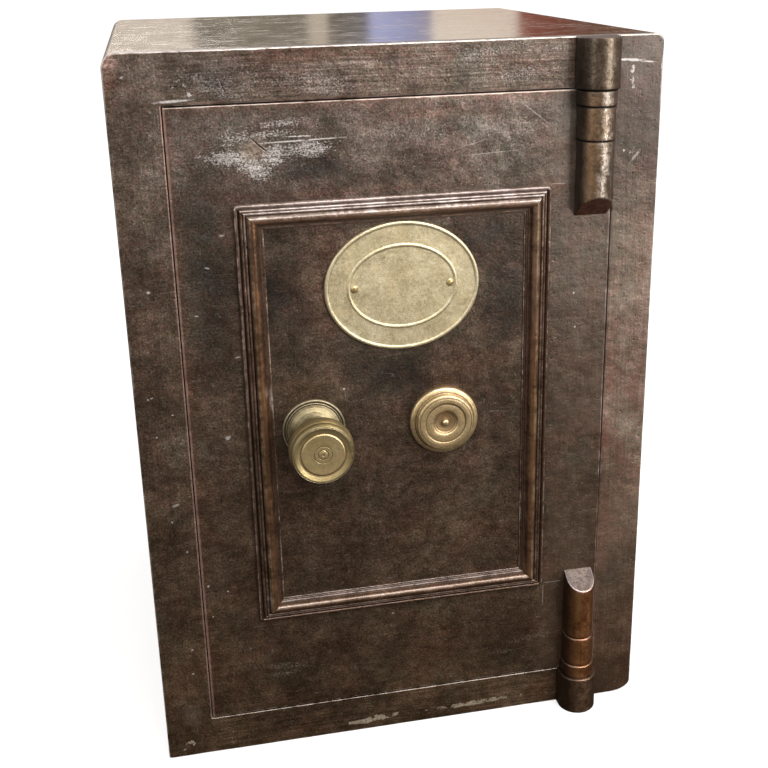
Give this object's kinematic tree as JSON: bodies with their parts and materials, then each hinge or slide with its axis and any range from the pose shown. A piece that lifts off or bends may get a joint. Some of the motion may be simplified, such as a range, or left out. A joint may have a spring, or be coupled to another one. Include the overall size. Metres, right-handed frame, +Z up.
{
  "type": "safe",
  "caption": "Small antique iron safe with one hinged door, a knob that works sliding bolts, a keyhole under a swinging cover, and a shelf and drawer inside.",
  "frame": {"origin": "centre of the flat base, on the floor", "axes": "+Z up, the door faces -Y, +X to the right of a person who faces the door"},
  "size_m": [0.434, 0.4844, 0.61],
  "materials": {
    "body_iron": "bare wrought iron, stripped and waxed, brushed and pitted",
    "front_iron": "bare wrought iron, stripped and waxed, mottled, fine pits",
    "moulding_iron": "waxed rolled iron with worn bright beads",
    "hinge_iron": "turned and filed iron with a bronze brown tint",
    "dark_iron": "dark oiled sheet iron",
    "steel": "turned steel, lightly oiled",
    "brass": "satin brass, pale, darker in the recesses",
    "lock_brass": "lock brass, satin",
    "drawer_paint": "dull dark red paint over sheet iron",
    "filling": "pale packed mineral compound, matt"
  },
  "bodies": {
    "body": {"outer_shell": "body_iron", "front_frame": "front_iron", "door_jamb": "dark_iron", "inner_lining": "dark_iron", "fire_filling": "filling", "back_angle": "dark_iron", "back_plate": "body_iron", "back_rivets": "body_iron", "bolt_pockets": "dark_iron", "upper_hinge_lug": "hinge_iron", "lower_hinge_lug": "hinge_iron", "upper_hinge_pin": "steel", "lower_hinge_pin": "steel", "shelf": "dark_iron", "shelf_brackets": "dark_iron", "drawer_runners": "dark_iron"},
    "door": {"door_plate": "front_iron", "moulding_top": "moulding_iron", "moulding_bottom": "moulding_iron", "moulding_left": "moulding_iron", "moulding_right": "moulding_iron", "upper_hinge_collar": "hinge_iron", "lower_hinge_collar": "hinge_iron", "upper_hinge_sleeve": "hinge_iron", "lower_hinge_sleeve": "hinge_iron", "upper_hinge_knuckle": "hinge_iron", "lower_hinge_knuckle": "hinge_iron", "door_pan": "dark_iron", "filling_tray": "dark_iron", "door_filling": "filling", "pan_cover": "dark_iron", "pan_cover_screws": "steel", "hinge_dogs": "steel", "bolt_guides": "dark_iron", "hard_plate": "steel", "lock_case": "dark_iron", "lock_cap": "lock_brass", "lever_post": "steel", "knob_rose": "brass", "keyhole_escutcheon": "brass", "cover_pivot_pin": "brass", "oval_plate": "brass", "plate_screws": "brass"},
    "handle": {"knob": "brass", "spindle": "steel", "spindle_collar": "steel", "spindle_crank": "dark_iron"},
    "boltwork": {"bolt_bar": "dark_iron", "bolts": "steel", "bolt_rivets": "steel"},
    "cover": {"keyhole_cover": "brass"},
    "lock_bolt": {"lock_bolt": "lock_brass"},
    "levers": {"lock_levers": "lock_brass"},
    "drawer": {"drawer_tray": "drawer_paint", "drawer_front": "drawer_paint", "drawer_knob": "brass"}
  },
  "joints": [
    {"name": "door_swing", "type": "hinge", "parent": "body", "child": "door", "pos_m": [0.1602, -0.222, 0.303], "axis": [0, 0, 1], "range_deg": [0, 170]},
    {"name": "handle_turn", "type": "hinge", "parent": "door", "child": "handle", "pos_m": [-0.075, -0.215, 0.303], "axis": [0, -1, 0], "range_deg": [0, 90]},
    {"name": "boltwork_slide", "type": "slide", "parent": "door", "child": "boltwork", "axis": [-1, 0, 0], "range_m": [0, 0.022]},
    {"name": "cover_swing", "type": "hinge", "parent": "door", "child": "cover", "pos_m": [0.035, -0.215, 0.3195], "axis": [0, -1, 0], "range_deg": [-100, 100]},
    {"name": "lock_bolt_slide", "type": "slide", "parent": "door", "child": "lock_bolt", "axis": [0, 0, 1], "range_m": [0, 0.009]},
    {"name": "levers_drop", "type": "hinge", "parent": "door", "child": "levers", "pos_m": [0.062, -0.185, 0.268], "axis": [0, -1, 0], "range_deg": [0, 5.5], "stiffness_Nm_per_rad": 0.3, "springref_deg": 5.5},
    {"name": "drawer_slide", "type": "slide", "parent": "body", "child": "drawer", "axis": [0, -1, 0], "range_m": [0, 0.065]}
  ],
  "couplings": [
    {"joint": "boltwork_slide", "follows": "handle_turn", "m_per_rad": 0.014}
  ]
}
